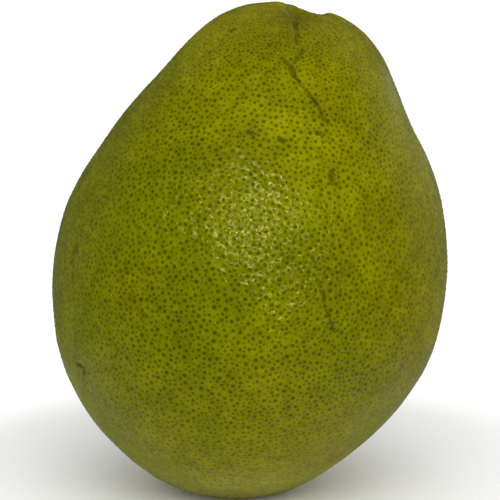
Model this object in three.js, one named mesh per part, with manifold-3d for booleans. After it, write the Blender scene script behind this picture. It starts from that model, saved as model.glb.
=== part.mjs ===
// A pomelo: one whole fruit, standing on a small flat spot beside its blossom end, with the
// woody button that the stalk leaves in the hollow of the neck. Millimetres, +Z up, and the
// origin at the middle of the footprint, on the surface that the fruit stands on.
import * as THREE from "three";
import { mergeVertices } from "three/addons/utils/BufferGeometryUtils.js";
import Module from "manifold-3d";

const { degToRad: rad, smoothstep: step } = THREE.MathUtils;

// ---- Driving dimensions ---------------------------------------------------------------------
const LEAN = rad(12.8); // how far the stem axis leans from upright, towards +X
const CENTRE = [1.124, 0.119, 80.365]; // the middle of the fruit's body, from the origin

// The body is a surface of radii from its middle. Its outline in the plane of the lean is a
// Fourier series in the angle from the stem end: the cosines are what both flanks share, and
// the sines are how far the right flank stands out past the mean of the two.
const SHARED = [
  73.574, -0.672, 9.442, 2.441, 2.517, 0.706, 0.421, 0.121, -0.106, -0.174,
  -0.246, -0.167, -0.127,
];
const ONE_SIDED = [
  0, -0.222, 0.018, -0.531, -0.602, -0.143, -0.296, 0.218, 0.218, 0.048, 0.161,
  0.036, 0.065,
];
// The faint segments inside show as swells round the girth: how many, how high, and where.
const SWELLS = [
  { count: 3, height: 0.5, turn: 0.6 },
  { count: 5, height: 0.35, turn: 2.0 },
];
const BACKWARD_SHOULDER = 0.9; // the neck stands this much further back than forward

const DISH = { depth: 6.3, floorR: 4.6, rimR: 9.5 }; // the hollow round the stalk
// The furrow crosses the dish's rim in front and behind. In front it is a notch in the rim, then
// a wider, shallower valley that bends to the right.
const FURROW = {
  azimuth: rad(75),
  notch: { depth: 2.7, left: 4.2, right: 2.3, reach: 27 },
  valley: { depth: 1.6, left: 4.0, right: 5.0, reach: 27 },
  back: { depth: 2.3, left: 6.5, right: 3.9, reach: 21 },
  bend: [-0.4752, 0.03257, -0.00036],
  jog: { by: -1.5, at: -8, width: 4.5 }, // where it crosses the rim
};
const HUMP = { at: [-11.5, -1.5], height: 0.6, width: 4.0 }; // the highest place on the rim
// Shallow pleats that run out from the rim.
const PLEATS = [
  { azimuth: rad(142), depth: 0.75, width: 2.0, reach: 22 },
  { azimuth: rad(196), depth: 0.6, width: 1.8, reach: 20 },
  { azimuth: rad(338), depth: 0.7, width: 2.2, reach: 20 },
  { azimuth: rad(22), depth: 0.8, width: 2.0, reach: 23 },
];
const DIMPLED_TO = 0.6; // the hollow, furrow and pleats end inside this angle

// The button: radius and height of the calyx disc and the cut stalk that stands in it.
const BUTTON = [
  [0, 0],
  [3.4, 0],
  [4.1, 0.2],
  [4.25, 0.55],
  [3.8, 0.8],
  [2.9, 0.92],
  [2.45, 1.1],
  [2.35, 1.6],
  [2.1, 1.8],
  [1.2, 1.75],
  [0, 1.65],
];
const SEPALS = { count: 5, reach: 0.45 };
const SEAT_GAP = 0.3; // between the button and the floor of the dish

const SKIN = { color: 0x84870e, roughness: 0.42, metalness: 0 };
const WOOD = { color: 0x5c5527, roughness: 0.85, metalness: 0 };

// ---- The fruit's surface ----------------------------------------------------------------------
const bell = (x, width) => Math.exp(-((x / width) ** 2));

// How far the skin lies under the plain dome, at a distance rho from the stem axis.
function hollowAt(rho, azimuth) {
  const x = rho * Math.cos(azimuth),
    y = rho * Math.sin(azimuth);
  const along = x * Math.cos(FURROW.azimuth) + y * Math.sin(FURROW.azimuth),
    across = x * Math.sin(FURROW.azimuth) - y * Math.cos(FURROW.azimuth);
  const { lerp } = THREE.MathUtils;
  const ahead = 1 - step(along, -7, 5), // 1 in front of the stalk, 0 behind it
    outer = step(-along, 10, 16); // 0 at the rim, 1 past it
  const { notch, valley, back, jog } = FURROW;
  const mix = (key) => lerp(back[key], lerp(notch[key], valley[key], outer), ahead);

  const d = THREE.MathUtils.clamp(-along, 0, 34);
  const [b1, b2, b3] = FURROW.bend;
  const bend = b1 * d + b2 * d * d + b3 * d ** 3 + jog.by * bell(along - jog.at, jog.width);
  const off = across - ahead * bend;
  const width = lerp(mix("left"), mix("right"), step(off, -1.5, 1.5));
  const furrow =
    mix("depth") *
    bell(off, width) *
    (1 - step(Math.abs(along), 11, mix("reach"))) *
    step(rho, 4.9, 9);

  const dish = DISH.depth * (1 - step(rho, DISH.floorR, DISH.rimR));
  const pleats = PLEATS.reduce((sum, p) => {
    const out = x * Math.cos(p.azimuth) + y * Math.sin(p.azimuth),
      side = y * Math.cos(p.azimuth) - x * Math.sin(p.azimuth);
    const width = p.width * (0.5 + 0.05 * Math.max(0, out));
    return sum + p.depth * bell(side, width) * step(out, 5, 10) * (1 - step(out, 12, p.reach));
  }, 0);
  const hump = HUMP.height * bell(Math.hypot(x - HUMP.at[0], y - HUMP.at[1]), HUMP.width);
  return dish + furrow + pleats - hump;
}

// The radius from the fruit's middle, at an angle from the stem end and an azimuth about it.
function radiusAt(polar, azimuth) {
  const shared = SHARED.reduce((sum, c, k) => sum + c * Math.cos(k * polar), 0),
    sided = ONE_SIDED.reduce((sum, c, k) => sum + c * Math.sin(k * polar), 0);
  const swell = SWELLS.reduce(
    (sum, s) => sum + s.height * Math.cos(s.count * azimuth + s.turn),
    BACKWARD_SHOULDER * Math.sin(azimuth) * Math.cos(polar),
  );
  const r = shared + sided * Math.cos(azimuth) + swell * Math.sin(polar) ** 2;
  return polar < DIMPLED_TO ? r - hollowAt(r * Math.sin(polar), azimuth) : r;
}

// ---- Solids -------------------------------------------------------------------------------------
const wasm = await Module();
wasm.setup();

// A solid from a closed geometry, once its seam and poles are merged and their empty faces gone.
function toSolid(geometry) {
  geometry.deleteAttribute("normal");
  geometry.deleteAttribute("uv");
  const merged = mergeVertices(geometry, 1e-4);
  const index = merged.index.array,
    faces = [];
  for (let i = 0; i < index.length; i += 3) {
    const [a, b, c] = index.subarray(i, i + 3);
    if (a !== b && b !== c && c !== a) faces.push(a, b, c);
  }
  return new wasm.Manifold(
    new wasm.Mesh({
      numProp: 3,
      vertProperties: new Float32Array(merged.attributes.position.array),
      triVerts: new Uint32Array(faces),
    }),
  );
}

function toGeometry(solid) {
  const mesh = solid.getMesh();
  const geometry = new THREE.BufferGeometry();
  geometry.setAttribute(
    "position",
    new THREE.BufferAttribute(mesh.vertProperties, mesh.numProp),
  );
  geometry.setIndex(new THREE.BufferAttribute(mesh.triVerts, 1));
  geometry.computeVertexNormals();
  return geometry;
}

// A lathe about +Z whose points are then moved, one by one, by what reshape does to them.
function turned(profile, around, reshape) {
  const geometry = new THREE.LatheGeometry(
    profile.map(([r, z]) => new THREE.Vector2(r, z)),
    around,
  ).rotateX(Math.PI / 2);
  const spots = geometry.attributes.position,
    p = new THREE.Vector3();
  for (let i = 0; i < spots.count; i++) {
    reshape(p.fromBufferAttribute(spots, i));
    spots.setXYZ(i, p.x, p.y, p.z);
  }
  return geometry;
}

// The fruit starts as a ball of radius 1. Its rings are close together over the stem end and
// round the flat spot, where the shape turns fastest.
function fruitGeometry() {
  const angles = [0];
  for (let d = 1.5; d < 24; d += 1.5) angles.push(d);
  for (let d = 24; d < 150; d += 5) angles.push(d);
  for (let d = 150; d < 179; d += 2.2) angles.push(d);
  angles.push(180);
  const ball = angles
    .reverse()
    .map((d) => [d % 180 ? Math.sin(rad(d)) : 0, Math.cos(rad(d))]);
  return turned(ball, 64, (p) =>
    p.setLength(
      radiusAt(Math.acos(THREE.MathUtils.clamp(p.z, -1, 1)), Math.atan2(p.y, p.x)),
    ),
  );
}

// The button's edge reaches out into short sepals.
function buttonGeometry() {
  return turned(BUTTON, 40, (p) => {
    const r = Math.hypot(p.x, p.y),
      edge = SEPALS.reach * step(r, 3, 4.25);
    if (r > 0.1) {
      const out = 1 + (edge * Math.cos(SEPALS.count * Math.atan2(p.y, p.x))) / r;
      p.x *= out;
      p.y *= out;
    }
  });
}

// The flat spot is where the standing fruit is cut off level.
const stand = new THREE.Matrix4()
  .makeTranslation(...CENTRE)
  .multiply(new THREE.Matrix4().makeRotationY(LEAN));
const ground = new THREE.BoxGeometry(400, 400, 100).translate(0, 0, -50);
const fruit = toSolid(fruitGeometry().applyMatrix4(stand)).subtract(toSolid(ground));

// ---- Scene ----------------------------------------------------------------------------------------
const pomelo = new THREE.Group();

const skin = new THREE.Mesh(toGeometry(fruit), new THREE.MeshStandardMaterial(SKIN));
skin.name = "pomelo_fruit";
pomelo.add(skin);

const stemEnd = new THREE.Group();
stemEnd.position.set(...CENTRE);
stemEnd.rotation.y = LEAN;
pomelo.add(stemEnd);

const button = new THREE.Mesh(
  toGeometry(toSolid(buttonGeometry())),
  new THREE.MeshStandardMaterial(WOOD),
);
button.name = "stem_button";
button.position.z = radiusAt(0, 0) + SEAT_GAP;
stemEnd.add(button);

export default pomelo;
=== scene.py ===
"""The looks of a pomelo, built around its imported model: the rind with its oil glands, the
furrowed neck, the marks on the skin, the dry stem button and the scar at the blossom end."""

import math

import bpy
import numpy as np
from mathutils import Matrix, Quaternion, Vector, geometry, kdtree, noise


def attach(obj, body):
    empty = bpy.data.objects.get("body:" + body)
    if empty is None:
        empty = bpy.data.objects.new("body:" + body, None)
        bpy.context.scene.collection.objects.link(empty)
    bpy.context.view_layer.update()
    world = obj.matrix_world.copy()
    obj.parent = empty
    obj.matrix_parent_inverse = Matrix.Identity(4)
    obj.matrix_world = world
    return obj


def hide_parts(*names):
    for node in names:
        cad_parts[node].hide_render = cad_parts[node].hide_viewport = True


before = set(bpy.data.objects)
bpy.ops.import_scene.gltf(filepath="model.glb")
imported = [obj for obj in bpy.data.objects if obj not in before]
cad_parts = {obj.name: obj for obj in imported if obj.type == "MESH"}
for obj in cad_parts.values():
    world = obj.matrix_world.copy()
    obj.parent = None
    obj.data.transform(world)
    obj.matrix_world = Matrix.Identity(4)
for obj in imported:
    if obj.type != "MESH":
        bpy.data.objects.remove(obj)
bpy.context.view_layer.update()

MM = 0.001
RNG = np.random.default_rng(20607)

# ------------------------------------------------------------------ the fruit's shape, in mm
LEAN = math.radians(12.8)
CENTRE = np.array([1.124, 0.119, 80.365])
EX = np.array([math.cos(LEAN), 0, -math.sin(LEAN)])
EY = np.array([0, 1.0, 0])
EZ = np.array([math.sin(LEAN), 0, math.cos(LEAN)])
AXES = np.stack([EX, EY, EZ])  # rows: the fruit's own axes in the frame

SHARED = (73.574, -0.672, 9.442, 2.441, 2.517, 0.706, 0.421, 0.121, -0.106, -0.174, -0.246, -0.167, -0.127)
ONE_SIDED = (0, -0.222, 0.018, -0.531, -0.602, -0.143, -0.296, 0.218, 0.218, 0.048, 0.161, 0.036, 0.065)
FURROW = math.radians(75)


def step(lo, hi, x):
    t = np.clip((x - lo) / (hi - lo), 0, 1)
    return t * t * (3 - 2 * t)


def along_furrow(x, y):
    """Where a place round the stalk is along the furrow, across it, and off its bent middle."""
    s = x * math.cos(FURROW) + y * math.sin(FURROW)
    w = x * math.sin(FURROW) - y * math.cos(FURROW)
    d = np.clip(-s, 0, 34)
    bend = -0.4752 * d + 0.03257 * d**2 - 0.00036 * d**3 - 1.5 * np.exp(-(((s + 8) / 4.5) ** 2))
    return s, w, w - (1 - step(-7.0, 5.0, s)) * bend


def hollow(rho, ph):
    """How far the skin lies under the plain dome round the stalk."""
    x, y = rho * np.cos(ph), rho * np.sin(ph)
    s, _, off = along_furrow(x, y)
    ahead = 1 - step(-7.0, 5.0, s)
    behind = 1 - ahead
    outer = step(10.0, 16.0, -s)
    rim = 1 - outer
    dish = 6.3 * (1 - step(4.6, 9.5, rho))
    t = step(-1.5, 1.5, off)
    left = (4.2 * rim + 4.0 * outer) * ahead + 6.5 * behind
    right = (2.3 * rim + 5.0 * outer) * ahead + 3.9 * behind
    width = left * (1 - t) + right * t
    depth = (2.7 * rim + 1.6 * outer) * ahead + 2.3 * behind
    reach = 27.0 * ahead + 21.0 * behind
    furrow = depth * np.exp(-((off / width) ** 2)) * (1 - step(11.0, reach, np.abs(s))) * step(2.0, 9.0, rho)
    crack = off + 0.1 - 0.25 * np.sin(s * 0.8)
    cleft = 1.3 * np.exp(-((crack / 0.75) ** 2)) * step(15.4, 17.2, -s)
    cleft = cleft * (1 - 0.78 * step(21.2, 24.0, -s)) * (1 - step(25.0, 31.0, -s))
    hump = 0.6 * np.exp(-((x + 11.5) ** 2 + (y + 1.5) ** 2) / 16)
    pleats = 0.0
    for az, deep, wide, far in (
        (142, 0.75, 2.0, 22), (196, 0.6, 1.8, 20), (338, 0.7, 2.2, 20), (22, 0.8, 2.0, 23),
        (110, 0.4, 1.5, 18), (225, 0.45, 1.6, 17), (300, 0.4, 1.5, 17),
    ):
        a = math.radians(az)
        out, side = x * math.cos(a) + y * math.sin(a), y * math.cos(a) - x * math.sin(a)
        wide = wide * (0.5 + 0.05 * np.clip(out, 0, 40))
        pleats = pleats + deep * np.exp(-((side / wide) ** 2)) * step(4.0, 10.0, out) * (1 - step(12.0, far, out))
    return dish + furrow + cleft + pleats - hump


def bare_radius(dirs):
    """The plain dome's distance from the fruit's middle, along unit directions on its axes."""
    th = np.arccos(np.clip(dirs[:, 2], -1, 1))
    ph = np.arctan2(dirs[:, 1], dirs[:, 0])
    r = sum(c * np.cos(k * th) for k, c in enumerate(SHARED))
    r = r + np.cos(ph) * sum(c * np.sin(k * th) for k, c in enumerate(ONE_SIDED))
    swell = 0.5 * np.cos(3 * ph + 0.6) + 0.35 * np.cos(5 * ph + 2.0) + 0.9 * np.sin(ph) * np.cos(th)
    return r + swell * np.sin(th) ** 2


def radius(dirs):
    """The skin's distance from the fruit's middle."""
    r = bare_radius(dirs)
    rho = r * np.hypot(dirs[:, 0], dirs[:, 1])
    return r - np.where(dirs[:, 2] > math.cos(0.6), hollow(rho, np.arctan2(dirs[:, 1], dirs[:, 0])), 0)


def place(dirs):
    """Points of the skin in the frame, before the flat spot is pressed in."""
    return (dirs * radius(dirs)[:, None]) @ AXES + CENTRE


def unit(v):
    return v / np.linalg.norm(v, axis=-1, keepdims=True)


def toward(points):
    """Unit directions on the fruit's own axes of points in the frame."""
    return unit((points - CENTRE) @ AXES.T)


def normals(dirs, eps=4e-3):
    side = unit(np.cross(dirs, np.where(np.abs(dirs[:, 2:3]) < 0.9, [[0, 0, 1.0]], [[1.0, 0, 0]])))
    up = np.cross(dirs, side)
    a = place(unit(dirs + eps * side)) - place(unit(dirs - eps * side))
    b = place(unit(dirs + eps * up)) - place(unit(dirs - eps * up))
    n = unit(np.cross(a, b))
    return n * np.sign(np.sum(n * (dirs @ AXES), axis=1, keepdims=True))


def press(points, soft=0.5):
    """The flat spot: level where the fruit stands, with a soft rim."""
    z = points[:, 2]
    points[:, 2] = np.where(z > soft, z, np.where(z < -soft, 0, (z + soft) ** 2 / (4 * soft)))
    return points


# ------------------------------------------------------------------ oil glands
def closeness(dirs):
    """Glands are smaller and closer together on the neck and round the blossom end."""
    return 1 - 0.3 * step(0.8, 0.97, dirs[:, 2]) - 0.12 * step(0.93, 0.995, -dirs[:, 2])


def scatter():
    """Centres and radii of the glands, big ones first, small ones in the room that is left."""
    kinds = (
        # radius from, to, gap to any neighbour, gap to one of the same kind, how many
        (0.56, 0.68, 0.50, 0.72, 4300),
        (0.47, 0.57, 0.46, 0.56, 5700),
        (0.37, 0.48, 0.42, 0.46, 7000),
        (0.29, 0.36, 0.40, 0.42, 3600),
    )
    spots, sizes, kin = np.zeros((0, 3)), np.zeros(0), np.zeros(0, int)
    for kind, (lo, hi, gap, own, count) in enumerate(kinds):
        have = 0
        for _ in range(60):
            d = unit(RNG.normal(size=(9000, 3)))
            p, k = place(d), closeness(d)
            room = (np.linalg.norm(p - CENTRE, axis=1) / k) ** 2  # so that they spread evenly
            kept = RNG.uniform(0, room.max(), len(d)) < room
            d, p, k = d[kept], p[kept], k[kept]
            r = RNG.uniform(lo, hi, len(d)) * k
            tree = kdtree.KDTree(len(spots) + 1)
            for i, s in enumerate(spots):
                tree.insert(s, i)
            tree.balance()
            new_tree = kdtree.KDTree(len(p))
            for i, s in enumerate(p):
                new_tree.insert(s, i)
            new_tree.balance()
            kept = []
            state = np.zeros(len(p), int)
            for i in range(len(p)):
                free = True
                for _, j, dist in tree.find_range(p[i], r[i] + 0.8 + own):
                    if j < len(spots) and dist < r[i] + sizes[j] + (own if kin[j] == kind else gap) * k[i]:
                        free = False
                        break
                if not free:
                    continue
                for _, j, dist in new_tree.find_range(p[i], r[i] + hi + own):
                    if state[j] and dist < r[i] + r[j] + own * k[i]:
                        free = False
                        break
                if free:
                    state[i] = 1
                    kept.append(i)
            kept = kept[: count - have]
            spots, sizes = np.concatenate([spots, p[kept]]), np.concatenate([sizes, r[kept]])
            kin = np.concatenate([kin, np.full(len(kept), kind)])
            have += len(kept)
            if have >= count or len(kept) < 25:
                break
        print("glands of kind", kind, have)
    return toward(spots), sizes, kin


def neighbours(dirs):
    """Delaunay triangles of points on the ball, outward-facing: those of its map onto a plane
    from one of the points, and a fan at that point."""
    low = int(np.argmin((dirs @ AXES)[:, 2]))
    pole = dirs[low]
    a = unit(np.cross(pole, [0, 1.0, 0]))
    b = np.cross(pole, a)
    rest = np.array([i for i in range(len(dirs)) if i != low])
    q = dirs[rest]
    away = 1 - q @ pole
    flat = np.stack([q @ a / away, q @ b / away], 1)
    _, _, faces, orig, _, _ = geometry.delaunay_2d_cdt([Vector(v) for v in flat], [], [], 0, 1e-9, True)
    names = [rest[o[0]] for o in orig]
    tris = np.array([[names[i] for i in f] for f in faces])
    directed = set()
    for x, y, z in tris:
        directed.update(((x, y), (y, z), (z, x)))
    fan = [(y, x, low) for x, y in directed if (y, x) not in directed]
    tris = np.concatenate([tris, np.array(fan)])
    p = dirs[tris]
    out = np.sum(np.cross(p[:, 1] - p[:, 0], p[:, 2] - p[:, 0]) * p.sum(1), axis=1)
    tris[out < 0] = tris[out < 0][:, ::-1]
    return tris


def turn_edges(tris, spots):
    """Turns edges until the triangles are Delaunay on the skin itself, not just on the ball."""
    count = len(spots)
    for _ in range(60):
        ends = np.concatenate([tris[:, [1, 2]], tris[:, [2, 0]], tris[:, [0, 1]]])
        apex = np.concatenate([tris[:, 0], tris[:, 1], tris[:, 2]])
        owner = np.tile(np.arange(len(tris)), 3)
        a, b = unit(spots[ends[:, 0]] - spots[apex]), unit(spots[ends[:, 1]] - spots[apex])
        angle = np.arccos(np.clip(np.sum(a * b, axis=1), -1, 1))
        order = np.argsort(ends.min(1) * count + ends.max(1), kind="stable")
        one, two = order[0::2], order[1::2]
        wide = angle[one] + angle[two]
        pick = np.where(wide > math.pi + 1e-7)[0]
        if not len(pick):
            break
        used = np.zeros(len(tris), bool)
        for i in pick[np.argsort(-wide[pick], kind="stable")]:
            m, n = one[i], two[i]
            if used[owner[m]] or used[owner[n]]:
                continue
            used[owner[m]] = used[owner[n]] = True
            (x, y), c, d = ends[m], apex[m], apex[n]
            tris[owner[m]], tris[owner[n]] = (c, x, d), (d, y, c)
    return tris


# ------------------------------------------------------------------ marks on the skin
# Each is a path of (angle from the stem end, azimuth about it) in degrees, half its width in
# mm, how dark it is, whether it is a line or a spot, and its layer. Marks on one layer are at
# least 4.5 mm apart, so that the mesh never blends the coordinates of two of them.
LINE, SPOT = 1.0, 2.0
LAYERS = ("first", "second", "third")
MARKS = (
    (((23.8, -103.9), (24.2, -101.8), (24.5, -100.1), (25.0, -97.7), (25.4, -95.6)), 0.66, 0.82, LINE, 0),
    (((25.1, -96.3), (26.8, -94.2)), 1.2, 0.84, SPOT, 1),
    (((26.2, -94.6), (27.3, -92.4), (27.8, -90.9), (28.6, -89.1)), 0.66, 0.95, LINE, 2),
    (((28.6, -89.1), (29.3, -87.4)), 0.45, 0.6, LINE, 1),
    (((29.2, -87.5), (29.9, -85.0), (30.8, -83.2), (31.7, -80.9), (33.0, -78.7)), 0.66, 1.0, LINE, 0),
    (((32.7, -79.2), (33.7, -77.5), (35.2, -76.9)), 0.62, 0.78, LINE, 1),
    (((35.3, -76.3), (36.0, -74.0)), 0.85, 0.75, SPOT, 2),
    (((19.9, -91.8), (20.9, -92.0), (21.8, -92.5), (22.6, -93.4), (23.7, -94.6), (24.8, -95.5)), 0.56, 0.75, LINE, 2),
    # the next four are painted shade in the slot of the furrow and its thin tail, not marks of the skin
    (((7.6, -119.0), (8.4, -116.0), (9.3, -110.8), (9.8, -108.0), (12.3, -104.0), (15.0, -102.4)), 0.68, 0.62, LINE, 2),
    (((15.9, -99.0), (17.3, -97.0)), 0.75, 0.84, SPOT, 0),
    (((16.5, -99.9), (19.1, -96.7)), 0.65, 0.7, SPOT, 1),
    (((18.0, -96.8), (19.5, -96.4)), 0.35, 0.55, LINE, 1),
    (((39.3, -79.8), (39.7, -77.8), (39.6, -75.1)), 0.75, 0.72, LINE, 0),
    (((44.1, -93.0), (43.8, -91.5)), 0.85, 0.95, SPOT, 0),
    (((48.8, -72.1), (51.1, -72.0), (53.9, -71.8)), 0.7, 0.8, LINE, 0),
    (((51.0, -72.2), (51.9, -72.0)), 1.2, 0.8, SPOT, 1),
    (((55.5, -59.5), (56.2, -58.5)), 0.8, 0.6, SPOT, 0),
    (((35.2, -47.5), (35.1, -44.7)), 0.65, 0.26, SPOT, 0),
    (((44.5, -39.4), (47.0, -38.9), (49.0, -38.3), (51.5, -37.3)), 0.4, 0.35, LINE, 0),
    (((22.3, -143.9), (21.7, -143.1), (21.0, -142.1)), 0.65, 0.85, LINE, 0),
    (((28.0, -115.6), (27.8, -113.7)), 0.7, 0.4, SPOT, 0),
    (((28.4, -108.3), (27.8, -107.0), (27.4, -105.3)), 0.45, 0.75, LINE, 1),
    (((22.4, -113.2), (21.8, -112.7), (21.1, -112.3)), 0.55, 0.6, LINE, 1),
    (((43.5, -106.6), (43.9, -104.6), (44.4, -102.2)), 0.8, 0.8, LINE, 1),
    (((101.3, -120.0), (101.7, -118.4)), 0.9, 0.5, SPOT, 0),
    (((74.1, -76.3), (76.4, -74.6), (78.7, -72.8)), 0.5, 0.6, LINE, 0),
    (((80.5, -72.7), (83.0, -71.8), (85.1, -70.4), (87.3, -69.9)), 0.5, 0.65, LINE, 1),
    (((88.4, -69.2), (91.3, -67.3), (94.8, -64.9)), 0.5, 0.8, LINE, 0),
    (((90.7, -151.1), (93.2, -152.0), (95.4, -152.5), (97.8, -151.9)), 1.4, 0.6, LINE, 0),
    (((98.8, -150.5), (102.4, -149.8)), 0.8, 0.5, LINE, 1),
    (((125.4, -148.8), (124.4, -146.2), (124.5, -144.3), (124.8, -143.3), (126.0, -144.0), (127.3, -144.6)), 0.75, 0.98, LINE, 0),
    # the hidden sides have their share of scratches and spots too
    (((58, 20), (60, 21.5), (63, 22), (66, 24)), 0.5, 0.7, LINE, 0),
    (((96, 62), (99, 60), (101, 57), (104, 56)), 0.45, 0.65, LINE, 0),
    (((72, 118), (73.2, 119.5)), 0.95, 0.6, SPOT, 0),
    (((48, 92), (52, 93), (55, 91.5)), 0.5, 0.7, LINE, 0),
    (((112, 140), (112.6, 143)), 0.85, 0.65, SPOT, 0),
    (((84, 168), (88, 169.5), (93, 169)), 0.5, 0.7, LINE, 0),
    (((94, 170), (97, 171)), 0.35, 0.5, LINE, 1),
    (((118, -6), (120, -4), (121, -1)), 0.5, 0.7, LINE, 0),
    (((66, -12), (67, -11)), 0.8, 0.5, SPOT, 0),
    (((133, 60), (134, 64)), 0.8, 0.6, SPOT, 0),
    (((40, 150), (43, 152), (45, 151)), 0.5, 0.6, LINE, 0),
)

# Large soft clouds in the skin's colour: bearing, reach in metres, and factor in the middle.
CLOUDS = (
    ((40.0, -88.0), 0.024, 1.2),
    ((61.7, -93.0), 0.028, 1.12),
    ((24.5, -118.7), 0.017, 0.86),
    ((40.5, -120.4), 0.014, 1.17),
    ((32.9, -73.0), 0.012, 0.86),
    ((59.5, -73.7), 0.024, 1.13),
    ((70.9, -129.1), 0.014, 1.17),
    ((83.0, -69.0), 0.011, 0.86),
    ((97.4, -85.9), 0.016, 1.16),
    ((118.4, -102.1), 0.018, 0.88),
    ((112.2, -69.9), 0.014, 0.88),
    ((40.6, -90.0), 0.010, 1.14),
    ((48.4, -127.9), 0.010, 1.14),
    ((50.3, -102.1), 0.015, 0.87),
    ((70.2, -152.7), 0.015, 0.86),
    ((78.4, -56.2), 0.012, 1.12),
    ((110.6, -132.5), 0.012, 1.13),
)



def bearing(pairs):
    """Unit directions on the fruit's own axes from angles in degrees."""
    a = np.radians(np.asarray(pairs, float))
    return np.stack([np.sin(a[:, 0]) * np.cos(a[:, 1]), np.sin(a[:, 0]) * np.sin(a[:, 1]), np.cos(a[:, 0])], 1)


def mark_coordinates(points, ups):
    """For each layer, how far each point is along a mark (-1 to 1), and across it in half
    widths, with how dark the mark is and which kind, for the mark that is nearest."""
    layers = []
    for layer in range(len(LAYERS)):
        where = np.full((len(points), 3), 9.0)
        kind = np.zeros((len(points), 3))
        best = np.full(len(points), 6.5)
        for path, half, dark, sort, level in MARKS:
            if level != layer:
                continue
            way = place(bearing(path))
            near = np.where(np.linalg.norm(points - way.mean(0), axis=1) < 8 + np.ptp(way, axis=0).max())[0]
            p, n = points[near], ups[near]
            lengths = np.linalg.norm(np.diff(way, axis=0), axis=1)
            total, so_far = lengths.sum(), 0.0
            found = np.full(len(near), 1e9)
            along, across = np.zeros(len(near)), np.zeros(len(near))
            for i, long in enumerate(lengths):
                t = (way[i + 1] - way[i]) / long
                raw = (p - way[i]) @ t
                lo = -1e9 if i == 0 else 0.0
                hi = 1e9 if i == len(lengths) - 1 else long
                s = np.clip(raw, lo, hi)
                gap = p - way[i] - np.clip(raw, 0, long)[:, None] * t
                gap -= np.sum(gap * n, axis=1, keepdims=True) * n
                dist = np.linalg.norm(gap, axis=1)
                side = np.sum(np.cross(n, t) * (p - way[i]), axis=1)
                closer = dist < found
                found[closer] = dist[closer]
                along[closer] = (so_far + s[closer]) / total * 2 - 1
                across[closer] = np.where(np.abs(raw - s) > 0, np.sign(side) * np.maximum(dist, np.abs(side)), side)[closer]
                so_far += long
            take = found < best[near]
            rows = near[take]
            best[rows] = found[take]
            extra = 1.0 if sort == LINE else 1 + 2 * half / total
            where[rows] = np.stack([along[take] / extra, across[take] / half, np.zeros(take.sum())], 1)
            seen = np.where(found[take] < half * 2 + 1.6, dark, 0.0)
            kind[rows] = np.stack([seen, np.full(len(rows), sort), np.zeros(len(rows))], 1)
        layers.append((where, kind))
    return layers


# ------------------------------------------------------------------ the rind's mesh
def ripple(points):
    """The slow unevenness of the skin, in mm."""
    out = np.empty(len(points))
    for i, p in enumerate(points):
        v = Vector(p)
        out[i] = (
            0.26 * noise.noise(v * 0.055)
            + 0.13 * noise.noise(v * 0.14 + Vector((7, 3, 5)))
            + 0.05 * noise.noise(v * 0.36 + Vector((1, 9, 2)))
        )
    return out


def from_stem(x, y):
    """Unit directions to the places of the skin at those distances from the stem axis."""
    ph, rho = np.arctan2(y, x), np.hypot(x, y)
    th = rho / 80
    for _ in range(12):
        flat = np.stack([np.sin(th) * np.cos(ph), np.sin(th) * np.sin(ph), np.cos(th)], 1)
        th = np.arcsin(np.clip(rho / bare_radius(flat), 0, 0.9))
    return np.stack([np.sin(th) * np.cos(ph), np.sin(th) * np.sin(ph), np.cos(th)], 1)


def slot_points():
    """A fine net of plain points over the slot in the furrow, which is narrow and deep."""
    s, off = np.meshgrid(np.arange(-27, -11.4, 0.45), np.arange(-2.7, 2.71, 0.45))
    s, off = (v.ravel() + RNG.uniform(-0.1, 0.1, v.size) for v in (s, off))
    off = off - 0.1 + 0.25 * np.sin(s * 0.8)
    # from along and off the bent furrow to x and y
    _, _, straight = along_furrow(s * math.cos(FURROW), s * math.sin(FURROW))
    w = off - straight
    return from_stem(
        s * math.cos(FURROW) + w * math.sin(FURROW),
        s * math.sin(FURROW) - w * math.cos(FURROW),
    )


def in_slot(dirs, out):
    """True for places within that many mm of the slot's middle."""
    r = bare_radius(dirs)
    s, _, off = along_furrow(dirs[:, 0] * r, dirs[:, 1] * r)
    return (dirs[:, 2] > 0.8) & (s > -25.5) & (s < -12.5) & (np.abs(off + 0.1 - 0.25 * np.sin(s * 0.8)) < out)


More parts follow.
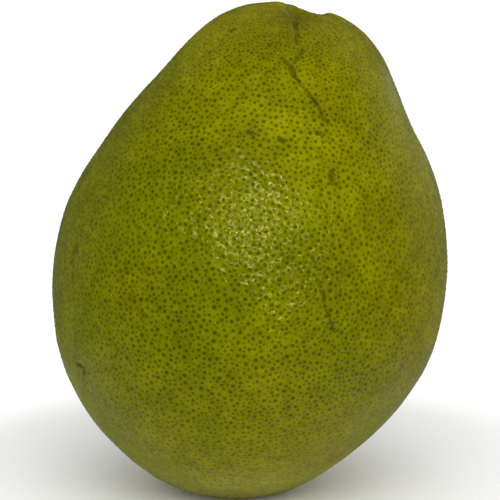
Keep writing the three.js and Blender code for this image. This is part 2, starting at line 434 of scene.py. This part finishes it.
def make_rind():
    dirs, sizes, kin = scatter()
    # no glands show in the slot, and none has its ring where the fine net is
    out = in_slot(dirs, 1.5)
    dirs, sizes, kin = dirs[~out], sizes[~out], kin[~out]
    fine = slot_points()
    near = kdtree.KDTree(len(dirs))
    for i, p in enumerate(place(dirs)):
        near.insert(p, i)
    near.balance()
    clear = [near.find(p)[2] > 0.45 for p in place(fine)]
    fine = fine[clear]
    dirs = np.concatenate([dirs, fine])
    sizes = np.concatenate([sizes, np.full(len(fine), 0.001)])
    kin = np.concatenate([kin, np.full(len(fine), 4)])
    count = len(dirs)
    spots, ups = place(dirs), normals(dirs)
    tris = turn_edges(neighbours(dirs), spots)

    a, b, c = (spots[tris[:, i]] for i in range(3))
    e1, e2 = b - a, c - a
    n = np.cross(e1, e2)
    middle = a + (
        np.sum(e2 * e2, 1, keepdims=True) * np.cross(n, e1) + np.sum(e1 * e1, 1, keepdims=True) * np.cross(e2, n)
    ) / (2 * np.sum(n * n, 1, keepdims=True))

    ringed = kin <= 1
    corner = tris.copy()  # the vertex that stands for each triangle's corner
    rows, cols = np.where(ringed[tris])
    owners = tris[rows, cols]
    out = middle[rows] - spots[owners]
    out -= np.sum(out * ups[owners], 1, keepdims=True) * ups[owners]
    far = np.linalg.norm(out, axis=1)
    reach = np.minimum(sizes[owners] * 1.12 + 0.06, 0.85 * far)
    ring_dirs = toward(spots[owners] + out / far[:, None] * reach[:, None])
    corner[rows, cols] = count + np.arange(len(rows))

    left = {}
    for t, (x, y, z) in enumerate(tris):
        left[x, y] = (t, 0, 1)
        left[y, z] = (t, 1, 2)
        left[z, x] = (t, 2, 0)
    faces, owned = [], []
    for t in range(len(tris)):
        faces.append(tuple(corner[t]))
        owned.append(tuple(tris[t]))
    for (x, y), (t1, i1, j1) in left.items():
        t2, j2, i2 = left[y, x]
        xl, yl, xr, yr = corner[t1, i1], corner[t1, j1], corner[t2, i2], corner[t2, j2]
        if ringed[x]:
            faces.append((x, xr, xl))
            owned.append((x, y, x))
        if x < y:
            z1, z2 = tris[t1, 3 - i1 - j1], tris[t2, 3 - i2 - j2]
            if xl != xr and yl != yr:
                faces += [(xl, xr, yr), (xl, yr, yl)]
                owned += [(x, y, z2), (x, y, z1)]
            elif xl != xr:
                faces.append((xl, xr, yl))
                owned.append((x, y, z1))
            elif yl != yr:
                faces.append((xl, yr, yl))
                owned.append((x, y, z1))
    faces, owned = np.array(faces), np.array(owned)

    all_dirs = np.concatenate([dirs, ring_dirs])
    points, outward = place(all_dirs), normals(all_dirs)
    rise = np.where(ringed, 0.12 * sizes / 0.62, np.where(kin == 4, -0.02, 0.03))
    rise = np.concatenate([rise, np.full(len(ring_dirs), -0.02)])
    layers = mark_coordinates(points, outward)
    for where, kind in layers:
        u, v = where[:, 0], where[:, 1]
        rise -= 0.07 * kind[:, 0] * np.exp(-(v**2) * 0.8) * (1 - step(0.8, 1.2, np.abs(u)))
    # the scar at the blossom end is a shallow pit with a grain in it
    scar = np.linalg.norm(points - place(np.array([[0, 0, -1.0]])), axis=1)
    rise -= 0.5 * (1 - step(1.2, 3.4, scar)) - 0.45 * (1 - step(0.3, 1.1, scar))
    points = points + outward * (rise + ripple(points))[:, None]
    points = press(points)
    homes = press(spots + ups * ripple(spots)[:, None])

    mesh = bpy.data.meshes.new("rind")
    mesh.from_pydata((points * MM).tolist(), [], faces.tolist())
    mesh.polygons.foreach_set("use_smooth", np.ones(len(faces), bool))
    for i in range(3):
        at = mesh.attributes.new(f"gland_{'abc'[i]}", "FLOAT_VECTOR", "FACE")
        at.data.foreach_set("vector", (homes[owned[:, i]] * MM).astype(np.float32).ravel())
    at = mesh.attributes.new("gland_sizes", "FLOAT_VECTOR", "FACE")
    at.data.foreach_set("vector", (sizes[owned] * MM).astype(np.float32).ravel())
    for (where, kind), name in zip(layers, LAYERS):
        for values, what in ((where, "where"), (kind, "kind")):
            at = mesh.attributes.new(f"mark_{what}_{name}", "FLOAT_VECTOR", "POINT")
            at.data.foreach_set("vector", values.astype(np.float32).ravel())
    mesh.update()
    print("rind", len(points), "vertices", len(faces), "triangles")
    rind = bpy.data.objects.new("rind", mesh)
    bpy.context.scene.collection.objects.link(rind)
    return rind


# ------------------------------------------------------------------ materials
def srgb(r, g, b):
    """A colour on the 0 to 255 screen scale, as linear light."""
    c = [v / 255 for v in (r, g, b)]
    return tuple(v / 12.92 if v <= 0.04045 else ((v + 0.055) / 1.055) ** 2.4 for v in c) + (1.0,)


class Nodes:
    """A material's node tree, written as expressions."""

    def __init__(self, name):
        self.material = bpy.data.materials.new(name)
        self.material.use_nodes = True
        self.tree = self.material.node_tree
        self.tree.nodes.clear()
        self.out = self.tree.nodes.new("ShaderNodeOutputMaterial")
        self.coord = self.tree.nodes.new("ShaderNodeTexCoord").outputs["Object"]

    def plug(self, socket, value):
        if isinstance(value, bpy.types.NodeSocket):
            self.tree.links.new(value, socket)
        elif value is not None:
            socket.default_value = value

    def math(self, op, a, b=None, c=None, clamp=False):
        n = self.tree.nodes.new("ShaderNodeMath")
        n.operation, n.use_clamp = op, clamp
        for i, v in enumerate((a, b, c)):
            if v is not None:
                self.plug(n.inputs[i], v)
        return n.outputs[0]

    def vec(self, op, a, b=None, scale=None):
        n = self.tree.nodes.new("ShaderNodeVectorMath")
        n.operation = op
        self.plug(n.inputs[0], a)
        if b is not None:
            self.plug(n.inputs[1], b)
        if scale is not None:
            self.plug(n.inputs["Scale"], scale)
        return n.outputs["Value" if op in ("LENGTH", "DISTANCE", "DOT_PRODUCT") else "Vector"]

    def parts(self, v):
        n = self.tree.nodes.new("ShaderNodeSeparateXYZ")
        self.plug(n.inputs[0], v)
        return n.outputs

    def attribute(self, name):
        n = self.tree.nodes.new("ShaderNodeAttribute")
        n.attribute_name = name
        return n.outputs["Vector"]

    def noise(self, at, scale, detail=2.0, rough=0.5, colour=False):
        n = self.tree.nodes.new("ShaderNodeTexNoise")
        self.plug(n.inputs["Vector"], at)
        n.inputs["Scale"].default_value = scale
        n.inputs["Detail"].default_value = detail
        n.inputs["Roughness"].default_value = rough
        return n.outputs["Color" if colour else "Fac"]

    def ramp(self, x, lo, hi, a=0.0, b=1.0, smooth=True):
        n = self.tree.nodes.new("ShaderNodeMapRange")
        n.interpolation_type = "SMOOTHSTEP" if smooth else "LINEAR"
        n.clamp = True
        for key, v in (("Value", x), ("From Min", lo), ("From Max", hi), ("To Min", a), ("To Max", b)):
            self.plug(n.inputs[key], v)
        return n.outputs["Result"]

    def mix(self, f, a, b, kind="MIX"):
        n = self.tree.nodes.new("ShaderNodeMix")
        n.data_type, n.blend_type, n.clamp_factor = "RGBA", kind, True
        self.plug(n.inputs[0], f)
        self.plug(n.inputs[6], a)
        self.plug(n.inputs[7], b)
        return n.outputs[2]

    def grey(self, x):
        n = self.tree.nodes.new("ShaderNodeCombineXYZ")
        for i in range(3):
            self.plug(n.inputs[i], x)
        return n.outputs[0]

    def finish(self, colour, roughness, height, **fixed):
        shader = self.tree.nodes.new("ShaderNodeBsdfPrincipled")
        self.plug(shader.inputs["Base Color"], colour)
        self.plug(shader.inputs["Roughness"], roughness)
        for key, value in fixed.items():
            shader.inputs[key.replace("_", " ")].default_value = value
        bump = self.tree.nodes.new("ShaderNodeBump")
        bump.inputs["Strength"].default_value = 1.0
        bump.inputs["Distance"].default_value = MM
        self.plug(bump.inputs["Height"], height)
        self.tree.links.new(bump.outputs["Normal"], shader.inputs["Normal"])
        self.tree.links.new(shader.outputs[0], self.out.inputs["Surface"])
        return self.material


def rind_material():
    g = Nodes("rind")
    at = g.coord
    x, y, z = g.parts(at)

    # glands: round dark windows in the skin, each a little dome
    shake = g.noise(at, 2100, 1.0, colour=True)
    at_soft = g.vec("ADD", at, g.vec("SCALE", g.vec("SUBTRACT", shake, (0.5, 0.5, 0.5)), scale=0.0003))
    sizes = g.parts(g.attribute("gland_sizes"))
    dots = domes = None
    for i, name in enumerate("abc"):
        home = g.attribute(f"gland_{name}")
        away = g.math("DIVIDE", g.vec("DISTANCE", at_soft, home), sizes[i])
        random = g.tree.nodes.new("ShaderNodeTexWhiteNoise")
        random.noise_dimensions = "3D"
        g.plug(random.inputs["Vector"], g.vec("SCALE", home, scale=1000.0))
        dark = g.math("MULTIPLY_ADD", random.outputs["Value"], 0.18, g.ramp(sizes[i], 0.0003, 0.0006, 0.48, 0.68, smooth=False))
        dot = g.math("MULTIPLY", g.ramp(away, 0.58, 1.52, 1.0, 0.0), dark)
        dome = g.math("MULTIPLY", g.math("MULTIPLY_ADD", g.math("MULTIPLY", away, away), -0.9, 1.0, clamp=True), sizes[i])
        dots = dot if dots is None else g.math("MAXIMUM", dots, dot)
        domes = dome if domes is None else g.math("MAXIMUM", domes, dome)

    # the skin between them: olive, greener on the left, yellower towards the top, the bottom and the sides; the
    # yellowing towards the outline is partly painted sheen
    slow = g.noise(at, 30, 2.0, 0.55)
    level = g.math("SUBTRACT", z, 0.085)
    x2 = g.math("MULTIPLY", x, x)
    drift = g.math("ADD", g.math("MULTIPLY", x, 3.9), g.math("MULTIPLY", g.math("MULTIPLY", level, level), 90.0))
    # yellower at the sides, most on the right: painted sheen of the outline
    drift = g.math("ADD", drift, g.math("MULTIPLY", g.math("MULTIPLY", x2, x2), g.ramp(x, -0.03, 0.03, 1.2e4, 4.5e4)))
    tone = g.math("ADD", g.math("MULTIPLY_ADD", g.math("SUBTRACT", slow, 0.5), 1.1, 0.27), drift, clamp=True)
    skin = g.mix(tone, srgb(99.5, 106.5, 0), srgb(124, 121, 0))
    # painted light and sheen low down: lighter near the bottom as if lit up from the pale floor, and a pale grey-yellow
    # haze over the lowest part
    skin = g.mix(1.0, skin, g.grey(g.ramp(z, 0.0, 0.02, 1.5, 1.0)), "MULTIPLY")
    skin = g.mix(g.ramp(z, 0.003, 0.024, 1.0, 0.0), skin, srgb(137, 135, 50))
    skin = g.mix(1.0, skin, g.grey(g.ramp(g.noise(at, 75, 1.0, 0.5), 0.35, 0.65, 0.94, 1.06)), "MULTIPLY")
    # painted shade: darker at the sides below the shoulders, more on the right than the left, and a little darker
    # towards the top
    sides = g.math("MULTIPLY", g.ramp(g.math("ABSOLUTE", x), 0.022, 0.056), g.ramp(z, 0.1, 0.125, 1.0, 0.0))
    skin = g.mix(1.0, skin, g.grey(g.math("MULTIPLY_ADD", sides, g.ramp(x, -0.03, 0.03, -0.03, -0.12), 1.0)), "MULTIPLY")
    skin = g.mix(1.0, skin, g.grey(g.ramp(z, 0.098, 0.125, 1.0, 0.94)), "MULTIPLY")
    for where, far, factor in CLOUDS:
        middle = place(bearing([where]))[0] * MM
        skin = g.mix(1.0, skin, g.grey(g.ramp(g.vec("DISTANCE", at, tuple(middle)), 0.0, far, factor, 1.0)), "MULTIPLY")
    # painted shade and light low down: darker off the middle, most at the lower right, and lighter at the far left rim
    low = g.math("MULTIPLY", g.ramp(g.math("ABSOLUTE", x), 0.006, 0.026), g.ramp(z, 0.045, 0.065, 1.0, 0.0))
    skin = g.mix(1.0, skin, g.grey(g.math("MULTIPLY_ADD", low, g.math("ADD", g.ramp(x, 0.02, 0.045, -0.06, -0.12), g.ramp(x, -0.062, -0.042, 0.12, 0.0)), 1.0)), "MULTIPLY")
    # painted light: lighter at the left and right rims, a little below the middle
    rims = g.math("MULTIPLY", g.ramp(z, 0.042, 0.056), g.ramp(z, 0.062, 0.078, 1.0, 0.0))
    rims = g.math("MULTIPLY", rims, g.ramp(g.math("ABSOLUTE", x), 0.05, 0.062))
    skin = g.mix(1.0, skin, g.grey(g.math("MULTIPLY_ADD", rims, 0.14, 1.0)), "MULTIPLY")
    skin = g.mix(1.0, skin, g.grey(g.ramp(g.noise(at, 500, 2.0, 0.5), 0.34, 0.66, 0.93, 1.07)), "MULTIPLY")
    cloud = g.noise(at, 210, 3.0, 0.6)
    skin = g.mix(1.0, skin, g.grey(g.ramp(cloud, 0.3, 0.7, 0.88, 1.12)), "MULTIPLY")
    grain = g.noise(at, 1500, 2.0, 0.6)
    skin = g.mix(1.0, skin, g.grey(g.ramp(grain, 0.25, 0.75, 0.90, 1.10)), "MULTIPLY")

    # marks: scars and scratches, and painted shade in the slot of the furrow
    fuzz = g.math("MULTIPLY", g.math("SUBTRACT", g.noise(at, 900, 2.0, 0.6), 0.5), 1.1)
    patchy = g.ramp(g.noise(at, 520, 2.0, 0.6), 0.34, 0.54, 0.6, 1.0)
    marks_and_slot_shade = None
    for layer in LAYERS:
        u, v, _ = g.parts(g.attribute(f"mark_where_{layer}"))
        dark, sort, _ = g.parts(g.attribute(f"mark_kind_{layer}"))
        u, v = g.math("ABSOLUTE", u), g.math("ABSOLUTE", v)
        line = g.math("MULTIPLY", g.ramp(g.math("ADD", v, fuzz), 0.5, 1.6, 1.0, 0.0), g.ramp(g.math("MULTIPLY_ADD", fuzz, 0.4, u), 0.7, 1.15, 1.0, 0.0))
        round_ = g.math("SQRT", g.math("ADD", g.math("MULTIPLY", u, u), g.math("MULTIPLY", v, v)))
        spot = g.ramp(g.math("ADD", round_, fuzz), 0.45, 1.5, 1.0, 0.0)
        is_spot = g.ramp(sort, 1.2, 1.8)
        mark = g.math("ADD", g.math("MULTIPLY", line, g.math("SUBTRACT", 1.0, is_spot)), g.math("MULTIPLY", spot, is_spot))
        mark = g.math("MULTIPLY", g.math("MULTIPLY", mark, dark), patchy)
        marks_and_slot_shade = mark if marks_and_slot_shade is None else g.math("MAXIMUM", marks_and_slot_shade, mark)

    dot_tint = g.mix(tone, (0.345, 0.365, 0.2, 1), (0.365, 0.37, 0.2, 1))
    stem_at = place(np.array([[0, 0, 1.0]]))[0] * MM
    stem = g.math("ADD", g.vec("DISTANCE", at, tuple(stem_at)), g.math("MULTIPLY", fuzz, 0.0012))
    dots = g.math("MULTIPLY", dots, g.ramp(stem, 0.006, 0.024, 0.5, 1.0))
    nearer = g.math("MULTIPLY_ADD", g.math("MAXIMUM", g.math("SUBTRACT", z, 0.1), 0.0), -0.65, y)
    depth = g.math("ADD", g.ramp(nearer, -0.064, -0.030, 1.12, 0.7), g.ramp(y, -0.004, 0.016, 0.0, 0.32))
    depth = g.math("MULTIPLY", depth, g.ramp(z, 0.01, 0.06, 0.86, 1.0))
    dots = g.math("MULTIPLY", dots, depth, clamp=True)
    colour = g.mix(dots, skin, g.mix(1.0, skin, dot_tint, "MULTIPLY"))
    # darker olive in the dish round the stalk, partly its own duller colour and partly painted shade of the hollow;
    # painted shade also darkens the neck round it a little
    colour = g.mix(g.ramp(stem, 0.0075, 0.0118, 0.45, 0.0), colour, srgb(98, 99, 4))
    colour = g.mix(1.0, colour, g.grey(g.ramp(g.vec("DISTANCE", at, tuple(stem_at)), 0.012, 0.046, 0.91, 1.0)), "MULTIPLY")
    wrinkled = g.ramp(stem, 0.014, 0.034, 1.0, 0.0)
    mottle = g.math("MULTIPLY", g.math("SUBTRACT", g.ramp(g.noise(at, 760, 2.0, 0.6), 0.36, 0.64), 0.5), g.math("MULTIPLY", wrinkled, 0.3))
    colour = g.mix(1.0, colour, g.grey(g.math("ADD", mottle, 1.0)), "MULTIPLY")
    # painted shade in the furrow: darker in its valley by the stalk and round its slot
    valley_at = place(bearing([(9.8, -109.0)]))[0] * MM
    valley = g.ramp(g.vec("DISTANCE", at, tuple(valley_at)), 0.003, 0.010, 0.78, 1.0)
    colour = g.mix(1.0, colour, g.grey(valley), "MULTIPLY")
    slot_at = place(bearing([(15.0, -102.5)]))[0] * MM
    colour = g.mix(1.0, colour, g.grey(g.ramp(g.vec("DISTANCE", at, tuple(slot_at)), 0.003, 0.021, 0.78, 1.0)), "MULTIPLY")
    # the marks and the slot's painted shade, in dark olive
    colour = g.mix(marks_and_slot_shade, colour, srgb(63, 65, 0))

    # brown at the blossom-end scar and round the calyx
    scar_at = place(np.array([[0, 0, -1.0]]))[0] * MM
    scar = g.math("ADD", g.vec("DISTANCE", at, tuple(scar_at)), g.math("MULTIPLY", fuzz, 0.0006))
    colour = g.mix(g.ramp(scar, 0.0026, 0.0042, 0.85, 0.0), colour, srgb(104, 84, 34))
    colour = g.mix(g.ramp(scar, 0.0008, 0.0013, 0.9, 0.0), colour, srgb(52, 40, 20))
    colour = g.mix(g.ramp(stem, 0.0046, 0.0066, 0.7, 0.0), colour, srgb(88, 80, 24))

    rough = g.math("ADD", g.math("MULTIPLY_ADD", cloud, 0.06, 0.08), g.math("MULTIPLY", dots, -0.03))
    rough = g.math("ADD", rough, g.math("MULTIPLY", marks_and_slot_shade, 0.15))
    duller = g.math("MAXIMUM", g.ramp(z, 0.118, 0.140, 0.0, 0.05), g.ramp(nearer, -0.053, -0.028, 0.0, 0.42))
    duller = g.math("MAXIMUM", duller, g.ramp(z, 0.035, 0.070, 0.22, 0.0))
    duller = g.math("MAXIMUM", duller, g.math("MULTIPLY", g.ramp(z, 0.136, 0.152, 0.0, 0.58), g.ramp(y, -0.036, -0.014)))
    duller = g.math("MAXIMUM", duller, g.ramp(g.vec("DISTANCE", at, tuple(valley_at)), 0.004, 0.012, 0.4, 0.0))
    calm = g.math("MULTIPLY", g.ramp(g.math("ABSOLUTE", x), 0.028, 0.044), g.ramp(z, 0.062, 0.085, 1.0, 0.0))
    duller = g.math("MAXIMUM", duller, g.math("MULTIPLY", calm, 0.28))
    rough = g.math("ADD", rough, duller)

    # relief, in mm
    height = g.math("MULTIPLY", domes, 150.0)
    height = g.math("ADD", height, g.math("MULTIPLY", g.noise(at, 950, 1.0, 0.5), 0.22))
    height = g.math("ADD", height, g.math("MULTIPLY", g.noise(at, 460, 0.0, 0.5), 0.72))
    height = g.math("MULTIPLY", height, g.math("MULTIPLY", g.ramp(z, 0.104, 0.134, 1.0, 0.4), g.ramp(y, -0.054, -0.030, 1.0, 0.35)))
    height = g.math("MULTIPLY", height, g.ramp(z, 0.035, 0.070, 0.65, 1.0))
    across = g.math("MULTIPLY", g.math("SUBTRACT", x, 0.002), g.math("SUBTRACT", 0.105, z))
    across = g.math("MULTIPLY", across, g.ramp(g.math("ABSOLUTE", x), 0.02, 0.036, 1.0, 0.0))
    height = g.math("MULTIPLY", height, g.ramp(across, -0.00022, 0.00022, 0.55, 1.45))
    height = g.math("MULTIPLY", height, g.math("MULTIPLY_ADD", calm, -0.5, 1.0))
    height = g.math("ADD", height, g.math("MULTIPLY", grain, 0.03))
    height = g.math("ADD", height, g.math("MULTIPLY", marks_and_slot_shade, -0.08))
    return g.finish(
        colour, rough, height,
        IOR=1.45, Specular_IOR_Level=0.1, Specular_Tint=(0.95, 1.0, 0.36, 1.0),
    )


def button_material():
    g = Nodes("stem_button")
    at = g.coord
    x, y, z = g.parts(at)
    stem_at = place(np.array([[0, 0, 1.0]]))[0] * MM
    rel = g.vec("SUBTRACT", at, tuple(stem_at))
    up = g.vec("DOT_PRODUCT", rel, tuple(EZ))
    flat = g.vec("SUBTRACT", rel, g.vec("SCALE", tuple(EZ), scale=up))
    away = g.vec("LENGTH", flat)
    patch = g.noise(at, 700, 3.0, 0.6)
    fine = g.noise(at, 4200, 3.0, 0.65)
    calyx = g.mix(g.ramp(patch, 0.35, 0.65), srgb(88, 78, 34), srgb(122, 104, 58))
    calyx = g.mix(g.ramp(away, 0.0028, 0.0044), calyx, srgb(74, 70, 26))
    bark = g.mix(g.ramp(fine, 0.35, 0.65), srgb(70, 54, 30), srgb(108, 88, 54))
    end = g.mix(g.ramp(fine, 0.3, 0.7), srgb(150, 128, 88), srgb(184, 164, 122))
    rings = g.math("SINE", g.math("MULTIPLY", away, 22000.0))
    end = g.mix(g.ramp(rings, -0.2, 0.9, 0.0, 0.35), end, srgb(112, 88, 54))
    end = g.mix(g.ramp(away, 0.0003, 0.0006, 1.0, 0.0), end, srgb(84, 64, 38))
    wood = g.mix(g.ramp(away, 0.0017, 0.0021, 1.0, 0.0), bark, end)
    colour = g.mix(g.ramp(up, 0.0013, 0.0016), calyx, wood)
    height = g.math("ADD", g.math("MULTIPLY", patch, 0.12), g.math("MULTIPLY", fine, 0.06))
    return g.finish(colour, g.ramp(patch, 0.3, 0.7, 0.62, 0.88), height, IOR=1.45, Specular_IOR_Level=0.35)


# ------------------------------------------------------------------ the stem button
def make_button():
    """The dry calyx, with five blunt sepals pressed to the skin, and the cut stalk in it."""
    around = 200
    profile = (
        (3.35, -0.3), (3.75, -0.15), (4.1, 0.08), (4.25, 0.3), (4.22, 0.54), (4.0, 0.73), (3.6, 0.83), (3.2, 0.86),
        (2.85, 0.89), (2.6, 0.97), (2.46, 1.12), (2.40, 1.3), (2.38, 1.5), (2.40, 1.65), (2.34, 1.79), (2.16, 1.85),
        (1.95, 1.82), (1.7, 1.77), (1.4, 1.75), (1.1, 1.73), (0.8, 1.71), (0.5, 1.69), (0.25, 1.66),
    )
    # more rings between those
    knots = np.array(profile)
    t = np.linspace(0, len(knots) - 1, 70)
    rz = np.stack([np.interp(t, np.arange(len(knots)), knots[:, i]) for i in (0, 1)], 1)
    base = radius(np.array([[0, 0, 1.0]]))[0] + 0.3
    a = np.linspace(0, 2 * math.pi, around, endpoint=False)
    verts = []
    for r, h in rz:
        edge = float(step(2.9, 4.25, np.array(r)))
        lobe = 0.45 * np.cos(5 * a) + 0.1 * np.cos(10 * a + 0.7) + 0.07 * np.sin(17 * a)
        rr = r + edge * lobe
        stalk = float(step(0.95, 1.3, np.array(h)))
        rr = rr * (1 + 0.03 * stalk * np.cos(3 * a + 1.1) + 0.02 * stalk * np.cos(8 * a))
        ribs = 0.07 * edge * np.cos(25 * a + 1.5 * np.sin(5 * a)) if h > 0.2 else 0 * a
        hh = h + ribs + 0.12 * edge * np.cos(5 * a) * (h > 0.2)
        for j in range(around):
            p = np.array([rr[j] * math.cos(a[j]), rr[j] * math.sin(a[j]), base + hh[j]])
            v = Vector(p)
            p[2] += 0.09 * noise.noise(v * 1.3) + 0.05 * noise.noise(v * 3.1)
            p[:2] *= 1 + 0.02 * noise.noise(v * 1.7 + Vector((3, 1, 4)))
            verts.append(p)
    verts.append(np.array([0, 0, base - 0.3]))
    verts.append(np.array([0, 0, base + 1.63]))
    verts = np.array(verts) @ AXES + CENTRE
    faces = []
    rings = len(rz)
    for i in range(rings - 1):
        for j in range(around):
            k = (j + 1) % around
            faces.append((i * around + j, i * around + k, (i + 1) * around + k, (i + 1) * around + j))
    for j in range(around):
        k = (j + 1) % around
        faces.append((rings * around, k, j))
        faces.append((rings * around + 1, (rings - 1) * around + j, (rings - 1) * around + k))
    mesh = bpy.data.meshes.new("calyx_and_stalk")
    mesh.from_pydata((verts * MM).tolist(), [], faces)
    mesh.polygons.foreach_set("use_smooth", np.ones(len(faces), bool))
    mesh.update()
    piece = bpy.data.objects.new("calyx_and_stalk", mesh)
    bpy.context.scene.collection.objects.link(piece)
    return piece


# ------------------------------------------------------------------ floor, light and camera
def make_floor():
    mesh = bpy.data.meshes.new("floor")
    rim = [(0.16 * math.cos(math.tau * i / 96), 0.16 * math.sin(math.tau * i / 96), -5e-5) for i in range(96)]
    mesh.from_pydata(rim, [], [tuple(range(96))])
    floor = bpy.data.objects.new("floor", mesh)
    bpy.context.scene.collection.objects.link(floor)
    g = Nodes("floor")
    soft = g.noise(g.coord, 3.0, 2.0)
    colour = g.mix(soft, (0.96, 0.96, 0.955, 1), (0.975, 0.975, 0.97, 1))
    mesh.materials.append(g.finish(colour, 0.9, soft, Specular_IOR_Level=0.0))
    # its outer ring glows: painted light that fades it into the pale room at its edge
    glow = g.tree.nodes.new("ShaderNodeEmission")
    glow.inputs["Strength"].default_value = 1.1
    mix = g.tree.nodes.new("ShaderNodeMixShader")
    g.plug(mix.inputs[0], g.ramp(g.vec("LENGTH", g.coord), 0.105, 0.158))
    g.tree.links.new(g.out.inputs["Surface"].links[0].from_socket, mix.inputs[1])
    g.tree.links.new(glow.outputs[0], mix.inputs[2])
    g.tree.links.new(mix.outputs[0], g.out.inputs["Surface"])


def area(name, azimuth, elevation, distance, wide, high, power, roll=0, diffuse=True, glossy=True):
    """A soft light that looks at the fruit from that side, turned about its own aim by roll degrees."""
    light = bpy.data.lights.new(name, "AREA")
    light.shape, light.size, light.size_y, light.energy = "RECTANGLE", wide, high, power
    o = bpy.data.objects.new(name, light)
    a, e = math.radians(azimuth), math.radians(elevation)
    back = Vector((math.sin(a) * math.cos(e), -math.cos(a) * math.cos(e), math.sin(e)))
    o.location = Vector(CENTRE * MM) + back * distance
    o.rotation_euler = (back.to_track_quat("Z", "Y") @ Quaternion((0, 0, 1), math.radians(roll))).to_euler()
    o.visible_diffuse, o.visible_glossy = diffuse, glossy
    o.visible_camera = False
    bpy.context.scene.collection.objects.link(o)


def make_world():
    """An even, pale room, of which the gloss mirrors little."""
    world = bpy.data.worlds.new("room")
    bpy.context.scene.world = world
    world.use_nodes = True
    tree = world.node_tree
    tree.nodes.clear()
    out = tree.nodes.new("ShaderNodeOutputWorld")
    path = tree.nodes.new("ShaderNodeLightPath")
    shade = None
    for strength, seen_by in ((0.7, None), (1.1, "Is Camera Ray"), (0.12, "Is Glossy Ray")):
        room = tree.nodes.new("ShaderNodeBackground")
        room.inputs["Color"].default_value = (1, 1, 1, 1)
        room.inputs["Strength"].default_value = strength
        if shade is None:
            shade = room.outputs[0]
            continue
        mix = tree.nodes.new("ShaderNodeMixShader")
        tree.links.new(path.outputs[seen_by], mix.inputs[0])
        tree.links.new(shade, mix.inputs[1])
        tree.links.new(room.outputs[0], mix.inputs[2])
        shade = mix.outputs[0]
    tree.links.new(shade, out.inputs["Surface"])


def make_camera():
    """The viewing place: a little above level, 0.85 m away, looking along +Y."""
    tilt, far = math.radians(12), 0.85
    right = Vector((1, 0, 0))
    up = Vector((0, math.sin(tilt), math.cos(tilt)))
    back = Vector((0, -math.cos(tilt), math.sin(tilt)))
    camera = bpy.data.cameras.new("camera")
    camera.sensor_width, camera.lens = 36, 180
    camera.clip_start, camera.clip_end = 0.01, 50
    o = bpy.data.objects.new("camera", camera)
    place_at = Vector(CENTRE * MM) + back * far - right * 0.00102 + up * 0.00272
    turn = Matrix((right, up, back)).transposed().to_4x4()
    o.matrix_world = Matrix.Translation(place_at) @ turn
    bpy.context.scene.collection.objects.link(o)
    bpy.context.scene.camera = o


# ------------------------------------------------------------------ all of it
make_camera()
make_world()
area("canopy", 8, 50, 1.6, 1.6, 1.6, 16.6, glossy=False)
area("fill", 4, 7, 1.4, 1.2, 0.26, 3.2, glossy=False)
area("panel", 125, 22, 1.6, 2.0, 1.4, 5.0, diffuse=False)
area("left glow", -145, -8, 1.6, 1.2, 0.5, 0.6, diffuse=False)
area("glow", 150, -6, 1.6, 1.6, 0.8, 1.6, diffuse=False)
area("softbox", 0.4, 30.3, 1.3, 1.5, 0.34, 21.5, roll=-28, diffuse=False)
area("lamp", 0.6, 29.8, 1.25, 0.3, 0.16, 9.0, roll=-34, diffuse=False)
make_floor()

rind = make_rind()
rind.data.materials.append(rind_material())
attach(rind, "root")
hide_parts("pomelo_fruit")

button = make_button()
button.data.materials.append(button_material())
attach(button, "root")
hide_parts("stem_button")

bpy.context.scene.view_settings.view_transform = "Standard"
